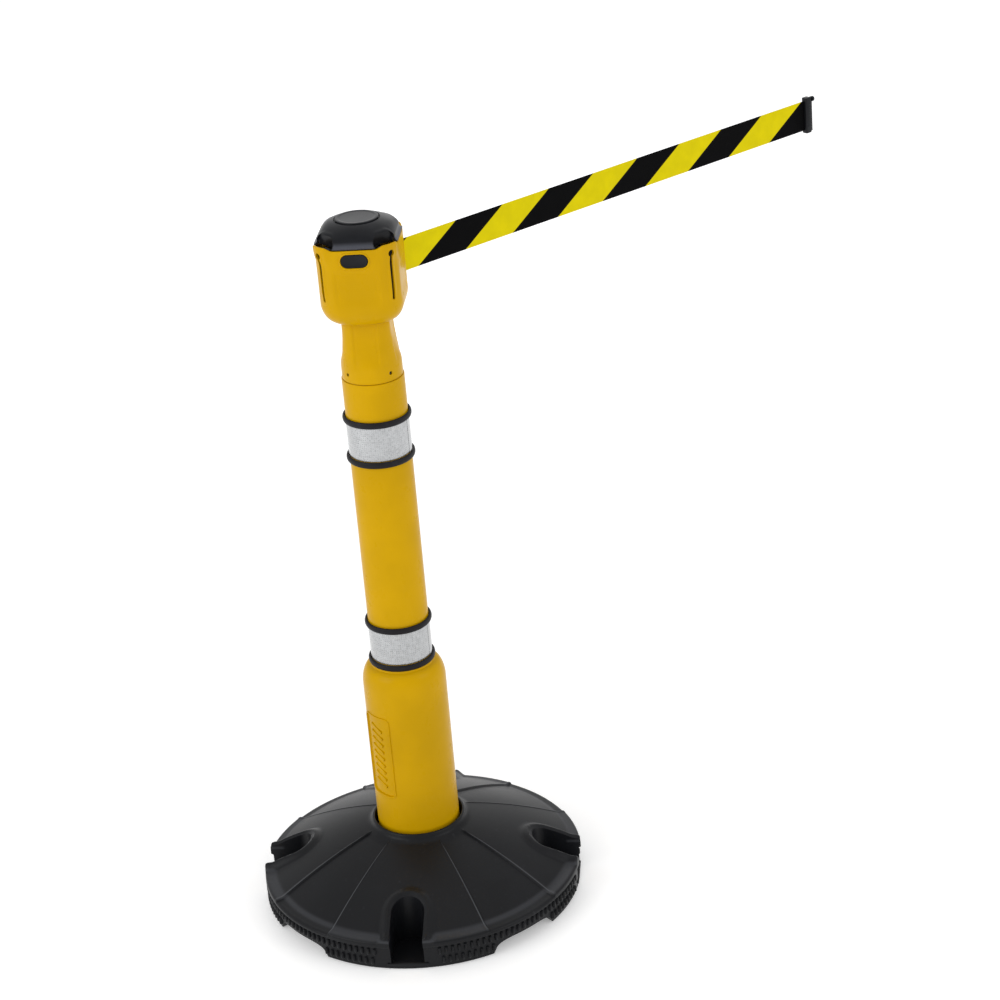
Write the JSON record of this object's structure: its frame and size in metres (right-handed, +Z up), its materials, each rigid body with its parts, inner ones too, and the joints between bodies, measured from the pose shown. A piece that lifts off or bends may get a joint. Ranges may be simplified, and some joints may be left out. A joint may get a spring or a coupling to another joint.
{
  "type": "retractable belt stanchion",
  "caption": "Free-standing plastic queue and hazard post with a heavy moulded base, reflective bands and a head that pays out a striped webbing belt to an end clip.",
  "frame": {"origin": "on the floor, on the post's axis, under the middle of the base", "axes": "+Z up along the post; +X the way the belt leaves the head"},
  "size_m": [1.2079, 0.512, 1.1303],
  "materials": {
    "yellow_plastic": "satin",
    "base_rubber": "satin, fine grain",
    "ring_rubber": "semi-matt",
    "gloss_black": "gloss",
    "reflective_sheet": "retroreflective honeycomb",
    "webbing": "woven, yellow and black slanted stripes",
    "inner_plastic": "as moulded",
    "steel": "plain"
  },
  "bodies": {
    "base": {"base": "base_rubber"},
    "post": {"lower_sleeve": "yellow_plastic", "post_foot": "inner_plastic", "post_tube": "yellow_plastic", "rubber_ring_1": "ring_rubber", "rubber_ring_2": "ring_rubber", "rubber_ring_3": "ring_rubber", "rubber_ring_4": "ring_rubber", "reflective_band_1": "reflective_sheet", "reflective_band_2": "reflective_sheet", "neck_coupler": "inner_plastic", "neck": "yellow_plastic", "neck_screw_1": "steel", "neck_screw_2": "steel", "neck_screw_3": "steel", "neck_screw_4": "steel", "pivot_bolt": "steel", "pivot_washer": "steel", "pivot_nut": "steel"},
    "head": {"head_housing": "yellow_plastic", "head_cap": "gloss_black", "cap_disc": "gloss_black", "reel_axle": "steel", "cassette_plate": "steel", "mainspring": "steel", "drag_washer": "ring_rubber", "guide_pin_1": "steel", "guide_pin_2": "steel", "belt": "webbing", "button_spring": "steel"},
    "reel": {"reel": "inner_plastic", "belt_roll": "webbing", "spring_drum": "inner_plastic"},
    "lock": {"lock_button": "gloss_black", "lock_plunger": "inner_plastic"},
    "clip": {"end_clip": "gloss_black"}
  },
  "joints": [
    {"name": "post_lift", "type": "slide", "parent": "base", "child": "post", "axis": [0, 0, 1], "range_m": [0, 0.125]},
    {"name": "head_turn", "type": "hinge", "parent": "post", "child": "head", "pos_m": [0, 0, 0.9783], "axis": [0, 0, 1], "range_deg": [-180, 180]},
    {"name": "belt_pull", "type": "slide", "parent": "head", "child": "clip", "axis": [1, 0, 0], "range_m": [-0.857, 0], "deforming": ["belt"]},
    {"name": "reel_spin", "type": "hinge", "parent": "head", "child": "reel", "pos_m": [0, 0, 1.0493], "axis": [0, 0, 1], "range_deg": [-10, 2000], "deforming": ["mainspring"]},
    {"name": "lock_press", "type": "slide", "parent": "head", "child": "lock", "axis": [0.7071, 0.7071, 0], "range_m": [0, 0.003], "stiffness_N_per_m": 400, "deforming": ["button_spring"]}
  ],
  "couplings": [
    {"joint": "reel_spin", "follows": "belt_pull", "rad_per_m": -40}
  ]
}
